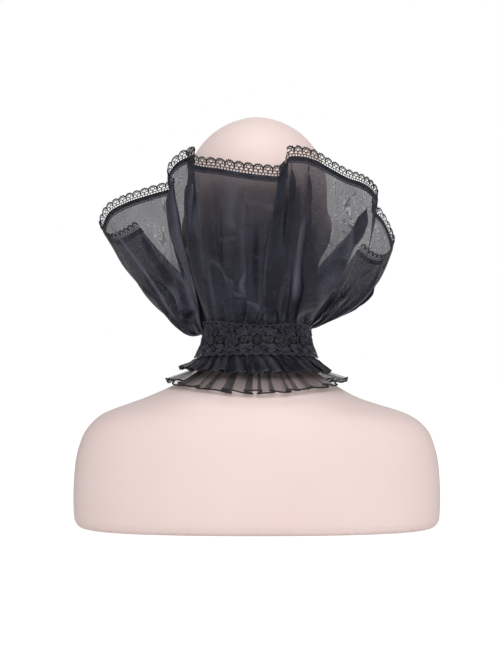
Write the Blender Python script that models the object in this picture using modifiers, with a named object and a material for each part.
"""Black organza stand collar on a head-and-shoulders display bust.

Metres, +Z up, and the bust faces -Y. The collar is one neck band with flower lace over it, a
gathered fan of organza above with a scalloped lace edging, and two gathered frills below. Its
ends meet at the centre front, where two hooks and eyes hold them.
Lengths are named in millimetres and turned into metres where a mesh is made.
"""

import math

import bmesh
import bpy
import numpy as np

MM = 0.001

# Cloth
ORGANZA_WALL = 1.0
BAND_WALL = 1.2
EDGING_WALL = 1.0
SEAM_GAP = 0.3

# The collar's ring round the neck: half width and half depth at the band's mid line, how much
# both shrink for each mm up, its height at the neck axis and its rise for each mm to the back
RING_HALF_WIDTH = 53.8
RING_HALF_DEPTH = 54.0
RING_TAPER = 0.13
BAND_MID = 194.0
BAND_RISE = 0.055
BAND_HALF_HEIGHT = 13.0
BAND_INSIDE = 1.5
FRONT_END_ANGLE = 179.0

# Flower lace over the band
LACE_WALL = 1.0
LACE_FROM_BAND_TOP = 2.0
LACE_LOW_EDGE = 15.2
LACE_SCALLOP = 2.6
LACE_END_ANGLE = 173.0
LACE_FLARE = 0.75
MOTIFS_ROUND = 14
MOTIF_RELIEF = 1.3
MOTIF_RADIUS = 6.2
LEAF_RELIEF = 0.9
LACE_STATIONS = 99

# Fan
FAN_STATIONS = 148
FAN_GATHERS = 32
GATHER_DEPTH = 3.0
FOLD_DEPTH = 2.8
EDGING_HEADING = 7.0
EDGING_TIP = 12.0
EDGING_VALLEY = 9.4

# Frills
UPPER_GATHERS = 38
LOWER_PLEATS = 28
UPPER_STATIONS = 114
LOWER_STATIONS = 112
FRILL_STRAIGHT = 17.2
FRILL_PARTING = 0.5

# Hooks and eyes
HOOK_WIRE = 0.45
HOOK_HALF_WIDTH = 1.2
EYE_HALF_WIDTH = 2.9
HOOK_HEIGHTS = (-6.0, 7.0)
HOOK_TO_BAND = 0.55

BUST_POINTS_ROUND = 32

# Sections of the bust from the base up: height, half width, reach to the front and to the back,
# squareness of the section, how much the front of the section narrows, and how far its middle
# is set to the wearer's left
BUST_SECTIONS = [
    (0.0, 179.0, 85.0, 84.0, 2.35, 0.0, 0.0),
    (1.8, 185.0, 90.0, 89.0, 2.35, 0.0, 0.0),
    (6.0, 189.3, 93.5, 92.0, 2.35, 0.0, 0.0),
    (14.0, 191.5, 96.0, 94.0, 2.35, 0.0, 0.0),
    (40.0, 192.0, 98.5, 95.0, 2.35, 0.0, 0.0),
    (70.0, 189.8, 99.0, 94.2, 2.32, 0.0, 0.0),
    (90.0, 184.8, 96.5, 93.0, 2.28, 0.0, 0.0),
    (102.0, 179.4, 93.5, 92.0, 2.22, 0.0, 0.0),
    (112.0, 170.5, 90.0, 90.5, 2.14, 0.0, 0.6),
    (119.5, 159.5, 87.0, 89.0, 2.06, 0.0, 2.0),
    (125.0, 145.5, 84.0, 87.5, 2.0, 0.0, 3.6),
    (130.5, 128.5, 80.5, 86.0, 2.0, 0.0, 5.0),
    (137.0, 110.5, 76.5, 83.0, 2.0, 0.0, 5.2),
    (145.0, 93.5, 71.5, 78.5, 2.0, 0.0, 3.6),
    (155.0, 74.5, 63.5, 68.5, 2.0, 0.0, 1.2),
    (166.0, 60.0, 56.5, 58.5, 2.0, 0.0, 0.2),
    (178.0, 54.2, 53.8, 54.4, 2.0, 0.0, 0.0),
    (190.0, 52.9, 53.4, 53.2, 2.0, 0.0, 0.0),
    (215.0, 52.0, 53.1, 52.4, 2.0, 0.0, 0.0),
    (224.0, 50.8, 58.0, 52.4, 2.0, 0.12, 0.0),
    (230.0, 50.5, 73.0, 53.6, 2.0, 0.32, 0.0),
    (238.0, 52.5, 82.5, 56.0, 2.0, 0.34, 0.0),
    (254.0, 59.0, 87.5, 62.0, 2.02, 0.27, 0.0),
    (276.0, 65.0, 90.0, 70.0, 2.04, 0.18, 0.0),
    (292.0, 68.0, 91.5, 76.0, 2.06, 0.13, 0.0),
    (305.0, 70.3, 92.7, 79.5, 2.06, 0.1, 0.0),
    (318.0, 72.0, 93.7, 83.0, 2.06, 0.08, 0.0),
    (342.0, 73.6, 94.5, 85.5, 2.04, 0.04, 0.0),
    (366.0, 72.6, 92.5, 84.0, 2.0, 0.0, 0.0),
    (386.0, 67.2, 86.0, 77.5, 2.0, 0.0, 0.0),
    (402.0, 57.2, 74.5, 66.5, 2.0, 0.0, 0.0),
    (415.0, 43.5, 58.5, 51.5, 2.0, 0.0, 0.0),
    (424.0, 27.5, 39.5, 34.0, 2.0, 0.0, 0.0),
    (428.8, 12.5, 19.0, 15.5, 2.0, 0.0, 0.0),
]
EAR_MID_UP = 305.0
EAR_HALF_HEIGHT = 26.0
EAR_HALF_DEPTH = 9.0
EAR_STANDS_OUT = 8.0

# Top hem of the fan from its left front corner round the back to its right front corner:
# place across, back and up, the angle of its foot on the band (0 at centre back, + to the
# wearer's left), how far the column of cloth under it bows out, and how low the bow sits
# (1 at half height, less is lower, more is higher)
HEM_COLUMNS = ("across", "back", "up", "foot", "bow", "bow_height")
FAN_HEM = [
    (127.5, -75.0, 314.5, 178.6, 8.0, 1.30),
    (141.5, -50.0, 304.5, 161.0, 12.5, 1.24),
    (154.0, -22.0, 300.5, 143.5, 17.6, 1.08),
    (161.5, 6.0, 313.0, 127.7, 22.0, 0.87),
    (154.0, 20.0, 327.0, 117.4, 25.3, 0.67),
    (137.0, 34.0, 335.0, 111.5, 28.4, 0.56),
    (113.5, 50.0, 341.5, 102.9, 24.8, 0.53),
    (92.5, 58.0, 347.5, 94.2, 19.3, 0.57),
    (85.0, 65.0, 351.5, 86.6, 13.4, 0.66),
    (90.5, 73.0, 358.5, 80.5, 8.9, 0.75),
    (85.5, 81.0, 369.5, 75.0, 6.5, 0.84),
    (77.0, 84.0, 377.0, 70.0, 6.0, 0.88),
    (63.5, 87.0, 382.0, 65.0, 6.0, 0.90),
    (70.0, 97.0, 375.5, 59.0, 6.0, 0.90),
    (58.5, 107.0, 369.5, 51.0, 6.0, 0.90),
    (40.0, 113.5, 366.5, 35.0, 6.5, 0.92),
    (15.0, 117.0, 362.0, 14.0, 7.0, 0.95),
    (-6.0, 117.0, 359.0, 0.0, 7.0, 0.95),
    (-19.5, 118.0, 359.5, -10.0, 7.0, 1.00),
    (-27.0, 124.5, 366.0, -17.0, 7.0, 1.00),
    (-33.0, 129.0, 374.5, -24.0, 7.0, 1.00),
    (-43.5, 125.0, 377.0, -32.0, 7.5, 1.00),
    (-57.0, 116.5, 374.5, -42.0, 8.0, 1.02),
    (-73.0, 106.0, 367.0, -53.0, 8.5, 1.05),
    (-91.0, 92.0, 359.0, -65.0, 10.3, 1.02),
    (-107.0, 76.0, 355.0, -76.0, 14.0, 0.98),
    (-118.0, 60.0, 349.0, -85.7, 17.9, 0.92),
    (-124.0, 48.0, 340.5, -92.7, 21.8, 0.90),
    (-119.5, 38.0, 334.0, -100.5, 23.9, 0.92),
    (-130.5, 28.0, 321.0, -108.7, 25.2, 1.04),
    (-139.0, 17.0, 305.5, -120.6, 25.5, 1.11),
    (-143.0, 2.0, 293.5, -134.0, 24.0, 1.24),
    (-134.5, -22.0, 281.5, -148.4, 21.4, 1.30),
    (-123.0, -47.0, 284.0, -163.5, 18.0, 1.32),
    (-111.5, -70.0, 295.0, -178.6, 13.0, 1.32),
]
FAN_ROWS = (0.0, 0.04, 0.10, 0.19, 0.32, 0.50, 0.73)

# How far the flower lace stands above the band's top edge, by angle from the centre back
LACE_TOP_COLUMNS = ("angle", "above")
LACE_TOP = [
    (-180.0, -1.0), (-125.0, -1.0), (-98.0, -1.0), (-80.0, -0.6), (-62.0, 3.0), (-45.0, 4.0),
    (-25.0, 2.6), (0.0, 1.6), (25.0, 3.6), (50.0, 7.0), (70.0, 5.0), (90.0, -0.5), (110.0, -1.0),
    (180.0, -1.0),
]

# Sections of each frill below the straight part under its seam, down to its hem: reach and
# height at the side, back and front, and how deep its gathers are there
FRILL_COLUMNS = ("side", "back", "front", "side_up", "back_up", "front_up", "depth")
UPPER_FRILL = [
    (65.2, 65.2, 64.0, 174.4, 177.0, 172.0, 0.5),
    (71.5, 71.4, 69.4, 171.4, 171.6, 168.4, 1.6),
    (81.5, 81.5, 78.0, 168.2, 164.2, 163.4, 2.6),
]
LOWER_FRILL = [
    (61.4, 61.0, 60.8, 170.6, 172.8, 167.6, 0.4),
    (70.0, 69.4, 68.6, 164.0, 163.6, 160.8, 1.5),
    (94.5, 90.5, 87.5, 155.0, 145.0, 150.6, 3.0),
]

COLOURS = {
    "bust": ((0.90, 0.76, 0.71, 1.0), 0.45),
    "organza": ((0.030, 0.030, 0.040, 1.0), 0.35),
    "band": ((0.018, 0.018, 0.022, 1.0), 0.75),
    "lace": ((0.020, 0.020, 0.026, 1.0), 0.80),
    "wire": ((0.040, 0.040, 0.045, 1.0), 0.35),
}


def clear_scene():
    for thing in list(bpy.data.objects):
        bpy.data.objects.remove(thing, do_unlink=True)


def columns(table, names):
    """A table's rows as one array for each named column."""
    rows = np.array(table, dtype=float)
    return {name: rows[:, i] for i, name in enumerate(names)}


def smooth_through(knots, values, places):
    """Cubic through the values, with each tangent set by the neighbours' spacing."""
    slopes = np.gradient(values, knots, axis=0)
    index = np.clip(np.searchsorted(knots, places, side="right") - 1, 0, len(knots) - 2)
    span = knots[index + 1] - knots[index]
    t = (places - knots[index]) / span
    start, end = values[index], values[index + 1]
    return (
        (2 * t**3 - 3 * t**2 + 1) * start
        + (t**3 - 2 * t**2 + t) * span * slopes[index]
        + (3 * t**2 - 2 * t**3) * end
        + (t**3 - t**2) * span * slopes[index + 1]
    )


def unit(vectors):
    lengths = np.linalg.norm(vectors, axis=-1, keepdims=True)
    return vectors / np.maximum(lengths, 1e-9)


def collar_ring(angle, above, offset):
    """Points of the collar's ring above the band's mid line, moved out by an offset.

    Angle 0 is the centre back, and it grows towards the wearer's left.
    """
    shrink = RING_TAPER * above
    width, depth = RING_HALF_WIDTH - shrink, RING_HALF_DEPTH - shrink
    x = width * np.sin(angle)
    y = depth * np.cos(angle)
    out = unit(np.stack([x / width**2, y / depth**2], axis=-1))
    x, y = x + offset * out[..., 0], y + offset * out[..., 1]
    return np.stack([x, y, BAND_MID + BAND_RISE * y + above], axis=-1)


def sheet_normals(grid):
    """Normals of a grid of points, pointing away from the neck axis."""
    along = np.gradient(grid, axis=0)
    up = np.gradient(grid, axis=1)
    return unit(np.cross(up, along))


def add_mesh(name, points, faces, finish, collection):
    mesh = bpy.data.meshes.new(name)
    mesh.from_pydata((np.asarray(points) * MM).tolist(), [], faces)
    mesh.update()
    made = bpy.data.objects.new(name, mesh)
    collection.objects.link(made)
    made.data.materials.append(finish)
    for polygon in mesh.polygons:
        polygon.use_smooth = True
    return made


def point_faces_out(made):
    shape = bmesh.new()
    shape.from_mesh(made.data)
    bmesh.ops.recalc_face_normals(shape, faces=shape.faces)
    shape.to_mesh(made.data)
    shape.free()


def grid_faces(along, up, start=0, turned=False):
    """Quads of a grid whose points run up first, then along."""
    faces = []
    for i in range(along - 1):
        for j in range(up - 1):
            a = start + i * up + j
            quad = (a, a + up, a + up + 1, a + 1)
            faces.append(quad[::-1] if turned else quad)
    return faces


def cloth_sheet(name, grid, wall, finish, collection):
    """An open sheet of points, given its thickness half to each side."""
    along, up = grid.shape[:2]
    made = add_mesh(name, grid.reshape(-1, 3), grid_faces(along, up), finish, collection)
    thick = made.modifiers.new("Wall", "SOLIDIFY")
    thick.thickness = wall * MM
    thick.offset = 0.0
    thick.use_even_offset = False
    return made


def walled_sheet(name, outer, inner, finish, collection):
    """A closed wall whose outer points carry relief over a plain inside of two rows."""
    along, outer_up = outer.shape[:2]
    inner_up = inner.shape[1]
    start = along * outer_up
    points = np.concatenate([outer.reshape(-1, 3), inner.reshape(-1, 3)])
    faces = grid_faces(along, outer_up)
    faces += grid_faces(along, inner_up, start, turned=True)
    for i in range(along - 1):
        low, low_next = i * outer_up, (i + 1) * outer_up
        inner_low, inner_next = start + i * inner_up, start + (i + 1) * inner_up
        faces.append((low, inner_low, inner_next, low_next))
        top, top_next = low + outer_up - 1, low_next + outer_up - 1
        faces.append((top, top_next, inner_next + inner_up - 1, inner_low + inner_up - 1))
    for i in (0, along - 1):
        outer_run = [i * outer_up + j for j in range(outer_up)]
        inner_run = [start + i * inner_up + j for j in range(inner_up)]
        faces.append(tuple(outer_run + inner_run[::-1]))
    made = add_mesh(name, points, faces, finish, collection)
    point_faces_out(made)
    return made


def make_finish(name):
    colour, roughness = COLOURS[name]
    finish = bpy.data.materials.new(name)
    finish.use_nodes = True
    shader = finish.node_tree.nodes["Principled BSDF"]
    shader.inputs["Base Color"].default_value = colour
    shader.inputs["Roughness"].default_value = roughness
    shader.inputs["Metallic"].default_value = 1.0 if name == "wire" else 0.0
    finish.diffuse_color = colour
    return finish


def make_bust(finish, collection):
    """Head, neck and shoulders lofted through flat sections, with a flat underside."""
    turn = np.linspace(0.0, 2.0 * math.pi, BUST_POINTS_ROUND, endpoint=False)
    points = []
    for up, half_width, front, back, power, narrow, aside in BUST_SECTIONS:
        side = np.sign(np.sin(turn)) * np.abs(np.sin(turn)) ** (2.0 / power)
        depth = np.sign(np.cos(turn)) * np.abs(np.cos(turn)) ** (2.0 / power)
        reach = np.where(depth > 0.0, back, front)
        forward = np.clip(-depth, 0.0, 1.0)
        x = half_width * side * (1.0 - narrow * forward**2)
        y = reach * depth
        ear = np.exp(-(((up - EAR_MID_UP) / EAR_HALF_HEIGHT) ** 4) - (y / EAR_HALF_DEPTH) ** 2)
        x += np.sign(side) * EAR_STANDS_OUT * ear + aside
        points += [(x[i], y[i], up) for i in range(BUST_POINTS_ROUND)]
    crown = len(points)
    points.append((0.0, -1.5, BUST_SECTIONS[-1][0] + 1.2))
    count = BUST_POINTS_ROUND
    faces = [tuple(range(count))]
    for row in range(len(BUST_SECTIONS) - 1):
        for i in range(count):
            a, b = row * count + i, row * count + (i + 1) % count
            faces.append((a, b, b + count, a + count))
    last = crown - count
    faces += [(last + i, last + (i + 1) % count, crown) for i in range(count)]
    made = add_mesh("display_bust", points, faces, finish, collection)
    point_faces_out(made)
    return made


def make_band(finish, collection):
    """The strip round the neck that every other piece of the collar is sewn to."""
    angles = np.radians(np.linspace(FRONT_END_ANGLE, -FRONT_END_ANGLE, 61))
    offset = BAND_INSIDE + BAND_WALL / 2
    rows = [collar_ring(angles, above, offset) for above in (-BAND_HALF_HEIGHT, BAND_HALF_HEIGHT)]
    return cloth_sheet("neck_band", np.stack(rows, axis=1), BAND_WALL, finish, collection)


def hem_stations(count):
    """The fan's hem at even steps along its length, with the other columns beside it."""
    table = np.array(FAN_HEM, dtype=float)
    knots = np.concatenate([[0.0], np.cumsum(np.linalg.norm(np.diff(table[:, :3], axis=0), axis=1))])
    fine_knots = np.linspace(0.0, knots[-1], 12 * len(table))
    fine = np.stack([smooth_through(knots, table[:, i], fine_knots) for i in range(6)], axis=1)
    length = np.concatenate([[0.0], np.cumsum(np.linalg.norm(np.diff(fine[:, :3], axis=0), axis=1))])
    even = np.linspace(0.0, length[-1], count)
    rows = np.stack([np.interp(even, length, fine[:, i]) for i in range(6)], axis=1)
    return {name: rows[:, i] for i, name in enumerate(HEM_COLUMNS)}, length[-1]


def fan_smooth(stations, rows):
    """The fan without its gathers: each column of cloth from its foot on the band to the hem."""
    angle = np.radians(stations["foot"])
    foot_above = BAND_HALF_HEIGHT + SEAM_GAP + ORGANZA_WALL / 2
    foot = collar_ring(angle, foot_above, BAND_INSIDE + BAND_WALL / 2)
    hem = np.stack([stations["across"], stations["back"], stations["up"]], axis=1)
    chord = hem - foot
    out = np.stack([foot[:, 0] + hem[:, 0], foot[:, 1] + hem[:, 1], 0.0 * foot[:, 0]], axis=1)
    out = unit(out)
    along = unit(chord)
    bow_way = unit(out - np.sum(out * along, axis=1, keepdims=True) * along)
    share = rows[None, :] ** stations["bow_height"][:, None]
    bow = stations["bow"][:, None] * np.sin(math.pi * share)
    grid = foot[:, None, :] + chord[:, None, :] * rows[None, :, None]
    return grid + bow[:, :, None] * bow_way[:, None, :]


def fan_rows(hem_length):
    """Rows of the fan, the last two a lace heading apart."""
    return np.array(list(FAN_ROWS) + [1.0 - EDGING_HEADING / hem_length, 1.0])


def fan_grid():
    """The gathered fan: small gathers that run out above the band, and broad folds between."""
    stations, _length = hem_stations(FAN_STATIONS + 1)
    column_length = 165.0
    rows = fan_rows(column_length)
    grid = fan_smooth(stations, rows)
    angle = np.radians(stations["foot"])[:, None]
    climb = rows[None, :]
    uneven = 0.55 * np.sin(3.0 * angle + 0.7) + 0.35 * np.sin(7.0 * angle + 2.1)
    reach = 0.34 + 0.10 * np.sin(4.0 * angle + 1.2) + 0.07 * np.sin(9.0 * angle)
    rise = np.clip(climb / 0.09, 0.0, 1.0)
    gather = GATHER_DEPTH * rise * np.exp(-((climb / reach) ** 2))
    gather = gather * np.sin(FAN_GATHERS * angle + uneven)
    fold = FOLD_DEPTH * np.sin(math.pi * climb) ** 1.5
    fold = fold * (np.sin(11.0 * angle + 0.9) + 0.6 * np.sin(17.0 * angle + 2.2))
    normals = sheet_normals(grid)
    return grid + (gather + fold)[:, :, None] * normals


def make_fan(finish, collection):
    return cloth_sheet("organza_fan", fan_grid(), ORGANZA_WALL, finish, collection)


def make_edging(finish, collection):
    """Scalloped lace sewn on the outside of the fan's hem, one scallop to every two stations."""
    grid = fan_grid()
    normals = sheet_normals(grid)
    gap = ORGANZA_WALL / 2 + SEAM_GAP + EDGING_WALL / 2
    heading, hem = grid[:, -2], grid[:, -1]
    onward = unit(hem - heading)
    tip = np.where(np.arange(len(hem)) % 2 == 1, EDGING_TIP, EDGING_VALLEY)[:, None]
    rows = [heading + gap * normals[:, -2], hem + gap * normals[:, -1]]
    rows.append(hem + tip * onward + gap * normals[:, -1])
    return cloth_sheet("fan_lace_edging", np.stack(rows, axis=1), EDGING_WALL, finish, collection)


def motif_relief(angle, above):
    """Raised flowers in three staggered rows, with leaves between them."""
    pitch = 2.0 * math.pi / MOTIFS_ROUND
    radius = 60.0
    relief = 0.0 * angle
    for row_above, shift, size in ((11.0, 0.0, 1.0), (0.0, 0.5, 1.0), (-12.5, 0.0, 0.8)):
        away = (angle / pitch + shift) % 1.0
        away = np.minimum(away, 1.0 - away) * pitch * radius
        distance = np.hypot(away, above - row_above) / (MOTIF_RADIUS * size)
        relief = np.maximum(relief, MOTIF_RELIEF * np.clip(1.25 - distance**2, 0.0, 1.0))
        beside = np.hypot(away - pitch * radius / 2, above - row_above) / 3.6
        relief = np.maximum(relief, LEAF_RELIEF * np.clip(1.0 - beside**2, 0.0, 1.0))
    return relief


def make_flower_lace(finish, collection):
    """Flower lace laid over the band: thick flowers over a plain back, scalloped edges."""
    angles = np.radians(np.linspace(LACE_END_ANGLE, -LACE_END_ANGLE, LACE_STATIONS))
    top = columns(LACE_TOP, LACE_TOP_COLUMNS)
    above_band = smooth_through(np.radians(top["angle"]), top["above"], angles)
    dip = 1.0 - np.abs(np.cos(angles * MOTIFS_ROUND / 2))
    low = -LACE_LOW_EDGE + LACE_SCALLOP * dip
    band_top = BAND_HALF_HEIGHT - LACE_FROM_BAND_TOP
    high = BAND_HALF_HEIGHT + above_band - LACE_SCALLOP / 2 * dip
    levels = [low + (band_top - low) * step for step in (0.0, 0.2, 0.4, 0.6, 0.8, 1.0)]
    levels.append(high)
    inside = BAND_INSIDE + BAND_WALL + SEAM_GAP
    outer_rows, inner_rows = [], []
    for number, above in enumerate(levels):
        flare = LACE_FLARE * np.clip(above - band_top, 0.0, None)
        relief = motif_relief(angles, above)
        outer_rows.append(collar_ring(angles, above, inside + LACE_WALL + flare + relief))
        if number in (0, 5, 6):
            inner_rows.append(collar_ring(angles, above, inside + flare))
    return walled_sheet(
        "flower_lace_band", np.stack(outer_rows, axis=1), np.stack(inner_rows, axis=1),
        finish, collection,
    )


def frill_grid(table, seam_offset, parting, stations, waves, slant):
    """A gathered strip from its seam under the band, straight down and then out to its hem.

    The parting moves its straight part away from the other frill. Each section of the table is
    an oval with its own back and front.
    """
    section = columns(table, FRILL_COLUMNS)
    angles = np.radians(np.linspace(FRONT_END_ANGLE, -FRONT_END_ANGLE, stations + 1))
    behind = np.clip(np.cos(angles), 0.0, 1.0) ** 2
    ahead = np.clip(-np.cos(angles), 0.0, 1.0) ** 2
    beside = 1.0 - behind - ahead
    rows = [
        collar_ring(angles, -BAND_HALF_HEIGHT - SEAM_GAP, seam_offset),
        collar_ring(angles, -FRILL_STRAIGHT, seam_offset + parting),
    ]
    for i in range(len(table)):
        reach = np.where(np.cos(angles) > 0.0, section["back"][i], section["front"][i])
        x = section["side"][i] * np.sin(angles)
        y = reach * np.cos(angles)
        level = section["side_up"][i] * beside + section["back_up"][i] * behind
        level = level + section["front_up"][i] * ahead
        rows.append(np.stack([x, y, level], axis=1))
    grid = np.stack(rows, axis=1)
    step = np.arange(len(rows)) / len(table)
    uneven = 0.5 * np.sin(5.0 * angles + 0.4) + 0.35 * np.sin(8.0 * angles + 1.7)
    phase = waves * angles[:, None] + uneven[:, None] + slant * step[None, :]
    depth = np.concatenate([[0.0, 0.0], section["depth"]])
    depth = depth[None, :] * (1.0 + 0.25 * np.sin(6.0 * angles + 1.0))[:, None]
    return grid + (depth * np.sin(phase))[:, :, None] * sheet_normals(grid)


def make_frills(finish, collection):
    """The short upper frill and the longer one under it, both sewn below the band."""
    upper_seam = BAND_INSIDE + BAND_WALL - ORGANZA_WALL / 2
    lower_seam = upper_seam - ORGANZA_WALL - SEAM_GAP
    upper = frill_grid(
        UPPER_FRILL, upper_seam, FRILL_PARTING, UPPER_STATIONS, UPPER_GATHERS, 2.2
    )
    lower = frill_grid(LOWER_FRILL, lower_seam, 0.0, LOWER_STATIONS, LOWER_PLEATS, 0.6)
    return [
        cloth_sheet("upper_frill", upper, ORGANZA_WALL, finish, collection),
        cloth_sheet("lower_frill", lower, ORGANZA_WALL, finish, collection),
    ]


def make_wire(name, points, finish, collection):
    """A round wire with closed ends through its points."""
    curve = bpy.data.curves.new(name, "CURVE")
    curve.dimensions = "3D"
    curve.bevel_depth = HOOK_WIRE * MM
    curve.bevel_resolution = 1
    curve.use_fill_caps = True
    run = curve.splines.new("POLY")
    run.points.add(len(points) - 1)
    for spot, (x, y, z) in zip(run.points, points):
        spot.co = (x * MM, y * MM, z * MM, 1.0)
    made = bpy.data.objects.new(name, curve)
    collection.objects.link(made)
    curve.materials.append(finish)
    return made


def round_end(centre_x, half_width, reach, steps=5):
    """Half an oval turn that joins two legs: pairs of x and height."""
    turn = [math.pi * (i + 1) / (steps + 1) for i in range(steps)]
    return [(centre_x - reach * math.sin(t), half_width * math.cos(t)) for t in turn]


def make_hooks(finish, collection):
    """Two hooks on the left end of the band, each over the bar of an eye on the right end."""
    front = math.pi
    face = BAND_INSIDE + BAND_WALL + HOOK_TO_BAND + HOOK_WIRE
    over_bar = 2 * HOOK_WIRE + SEAM_GAP + 0.1
    made = []
    for number, above in enumerate(HOOK_HEIGHTS, start=1):
        _x, face_y, level = (float(value) for value in collar_ring(front, above, face))
        legs = [(5.6, 0.0), (3.4, 0.3 * over_bar), (1.2, over_bar), (-1.6, over_bar)]
        top_leg = [(x, face_y - lift, level + HOOK_HALF_WIDTH) for x, lift in legs]
        low_leg = [(x, y, level - HOOK_HALF_WIDTH) for x, y, _z in reversed(top_leg)]
        bill = round_end(-2.0, HOOK_HALF_WIDTH, 0.9)
        turn = [(x, face_y - 0.45 * over_bar, level + up) for x, up in bill]
        made.append(make_wire(f"hook_{number}", top_leg + turn + low_leg, finish, collection))
        bar = round_end(-1.6, EYE_HALF_WIDTH, -1.3)
        loop = [(x, face_y, level + up) for x, up in bar]
        root_high = [(-5.8, face_y, level + EYE_HALF_WIDTH)]
        root_low = [(-5.8, face_y, level - EYE_HALF_WIDTH)]
        made.append(make_wire(f"eye_{number}", root_high + loop + root_low, finish, collection))
    return made


def centre_over_origin(parts):
    """Move every part so that the middle of the whole part's box stands over the origin."""
    bpy.context.view_layer.update()
    held = bpy.context.evaluated_depsgraph_get()
    low, high = math.inf, -math.inf
    for made in parts:
        shape = made.evaluated_get(held).to_mesh()
        depths = [(made.matrix_world @ vertex.co).y for vertex in shape.vertices]
        low, high = min(low, min(depths)), max(high, max(depths))
    for made in parts:
        made.location.y -= (low + high) / 2
    return (low + high) / 2


def main():
    clear_scene()
    collection = bpy.data.collections.new("stand_collar")
    bpy.context.scene.collection.children.link(collection)
    finishes = {name: make_finish(name) for name in COLOURS}
    parts = [
        make_bust(finishes["bust"], collection),
        make_band(finishes["band"], collection),
        make_flower_lace(finishes["lace"], collection),
        make_fan(finishes["organza"], collection),
        make_edging(finishes["lace"], collection),
    ]
    parts += make_frills(finishes["organza"], collection)
    parts += make_hooks(finishes["wire"], collection)
    moved = centre_over_origin(parts)
    print(f"neck axis stands {-moved * 1000:.2f} mm along Y")


main()
